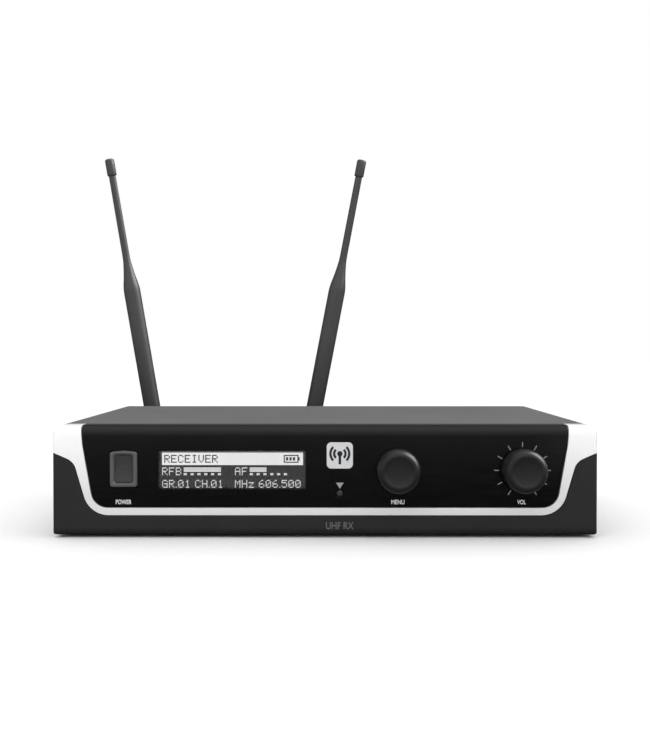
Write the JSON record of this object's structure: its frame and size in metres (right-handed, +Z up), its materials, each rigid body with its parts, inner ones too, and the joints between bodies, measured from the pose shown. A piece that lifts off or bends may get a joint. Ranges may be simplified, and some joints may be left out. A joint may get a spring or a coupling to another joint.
{
  "type": "wireless microphone receiver",
  "caption": "Half-rack radio microphone receiver with a display, push-and-turn controls, a silver trim band, rear audio and power sockets and screw-on antennas that swivel and tilt.",
  "frame": {"origin": "middle of the bounding box's footprint, on the surface the feet stand on", "axes": "+X to the right seen from the front, +Y from the front panel to the back, +Z up"},
  "size_m": [0.2252, 0.2046, 0.1764],
  "materials": {
    "case_paint": "fine-textured dark grey powder coat",
    "bezel_plastic": "satin moulded dark grey",
    "trim_silver": "pale silver-white paint, semi-gloss",
    "fascia_gloss": "polished black",
    "window_tint": "smoked clear acrylic",
    "display_face": "dark grey display glass with white characters",
    "control_plastic": "fine matt black moulding",
    "knob_skin": "soft-touch black",
    "badge_silver": "satin silver",
    "foot_rubber": "black rubber",
    "antenna_rubber": "semi-matt black over-moulding",
    "nickel": "bright nickel plate",
    "contact_brass": "gilt contacts in a black insert",
    "connector_black": "black moulded nylon",
    "board_green": "green solder resist",
    "tinned_steel": "tin-plated sheet",
    "anodised_black": "black anodised extrusion",
    "screw_black": "black zinc",
    "cable_jacket": "black insulation"
  },
  "bodies": {
    "receiver": {"chassis_tray": "case_paint", "rear_panel": "case_paint", "top_cover": "case_paint", "front_bezel": "bezel_plastic", "silver_trim": "trim_silver", "fascia_panel": "fascia_gloss", "display_window": "window_tint", "badge_plate": "badge_silver", "infrared_light_pipe": "window_tint", "infrared_led": "window_tint", "power_button_collar": "control_plastic", "power_switch_body": "connector_black", "encoder_body": "tinned_steel", "volume_pot_body": "tinned_steel", "lcd_module": "display_face", "front_board": "board_green", "main_board": "board_green", "ribbon_cable": "cable_jacket", "tuner_shield_left": "tinned_steel", "tuner_shield_right": "tinned_steel", "regulator_heat_sink": "anodised_black", "filter_capacitor": "connector_black", "xlr_shell": "connector_black", "xlr_contacts": "contact_brass", "jack_socket": "connector_black", "jack_nut": "nickel", "dc_inlet": "connector_black", "squelch_pot_body": "tinned_steel", "level_switch_body": "tinned_steel", "cover_screw_left_front": "screw_black", "cover_screw_left_rear": "screw_black", "antenna_socket_left": "nickel", "antenna_lead_left": "cable_jacket", "cover_screw_right_front": "screw_black", "cover_screw_right_rear": "screw_black", "antenna_socket_right": "nickel", "antenna_lead_right": "cable_jacket", "rubber_foot_1": "foot_rubber", "rubber_foot_2": "foot_rubber", "rubber_foot_3": "foot_rubber", "rubber_foot_4": "foot_rubber"},
    "power_button_body": {"power_button": "control_plastic"},
    "menu_rotor": {"encoder_rotor": "connector_black"},
    "menu_knob_body": {"menu_knob": "knob_skin", "menu_shaft": "nickel"},
    "volume_knob_body": {"volume_knob": "knob_skin", "volume_shaft": "nickel"},
    "squelch_knob_body": {"squelch_knob": "connector_black"},
    "level_lever": {"level_switch_lever": "connector_black"},
    "coupling_nut_left": {"antenna_coupling_nut_left": "nickel"},
    "elbow_left": {"antenna_elbow_left": "antenna_rubber", "antenna_hinge_pin_left": "nickel"},
    "whip_left": {"antenna_whip_left": "antenna_rubber", "antenna_tip_left": "antenna_rubber"},
    "coupling_nut_right": {"antenna_coupling_nut_right": "nickel"},
    "elbow_right": {"antenna_elbow_right": "antenna_rubber", "antenna_hinge_pin_right": "nickel"},
    "whip_right": {"antenna_whip_right": "antenna_rubber", "antenna_tip_right": "antenna_rubber"}
  },
  "joints": [
    {"name": "power_press", "type": "slide", "parent": "receiver", "child": "power_button_body", "axis": [0, 1, 0], "range_m": [0, 0.0018], "stiffness_N_per_m": 500, "springref_m": -0.0016},
    {"name": "menu_turn", "type": "hinge", "parent": "receiver", "child": "menu_rotor", "pos_m": [0.03495, -0.0761, 0.0267], "axis": [0, -1, 0], "continuous": true},
    {"name": "menu_press", "type": "slide", "parent": "menu_rotor", "child": "menu_knob_body", "axis": [0, 1, 0], "range_m": [0, 0.0005], "stiffness_N_per_m": 1500, "springref_m": -0.0008},
    {"name": "volume_turn", "type": "hinge", "parent": "receiver", "child": "volume_knob_body", "pos_m": [0.08345, -0.0761, 0.0267], "axis": [0, -1, 0], "range_deg": [-150, 150]},
    {"name": "squelch_turn", "type": "hinge", "parent": "receiver", "child": "squelch_knob_body", "pos_m": [0.02465, 0.0733, 0.023], "axis": [0, 1, 0], "range_deg": [-135, 135]},
    {"name": "level_slide", "type": "slide", "parent": "receiver", "child": "level_lever", "axis": [1, 0, 0], "range_m": [0, 0.0024]},
    {"name": "nut_left_turn", "type": "hinge", "parent": "receiver", "child": "coupling_nut_left", "pos_m": [-0.08425, 0.0779, 0.023], "axis": [0, 1, 0], "continuous": true},
    {"name": "antenna_left_swivel", "type": "hinge", "parent": "receiver", "child": "elbow_left", "pos_m": [-0.08425, 0.0843, 0.023], "axis": [0, 1, 0], "range_deg": [-80, 21]},
    {"name": "antenna_left_tilt", "type": "hinge", "parent": "elbow_left", "child": "whip_left", "pos_m": [-0.08425, 0.0973, 0.023], "axis": [-0.9859, 0, -0.1676], "range_deg": [0, 90]},
    {"name": "nut_right_turn", "type": "hinge", "parent": "receiver", "child": "coupling_nut_right", "pos_m": [-0.0031, 0.0779, 0.023], "axis": [0, 1, 0], "continuous": true},
    {"name": "antenna_right_swivel", "type": "hinge", "parent": "receiver", "child": "elbow_right", "pos_m": [-0.0031, 0.0843, 0.023], "axis": [0, 1, 0], "range_deg": [-22, 79]},
    {"name": "antenna_right_tilt", "type": "hinge", "parent": "elbow_right", "child": "whip_right", "pos_m": [-0.0031, 0.0973, 0.023], "axis": [-0.9821, 0, 0.1882], "range_deg": [0, 90]}
  ]
}
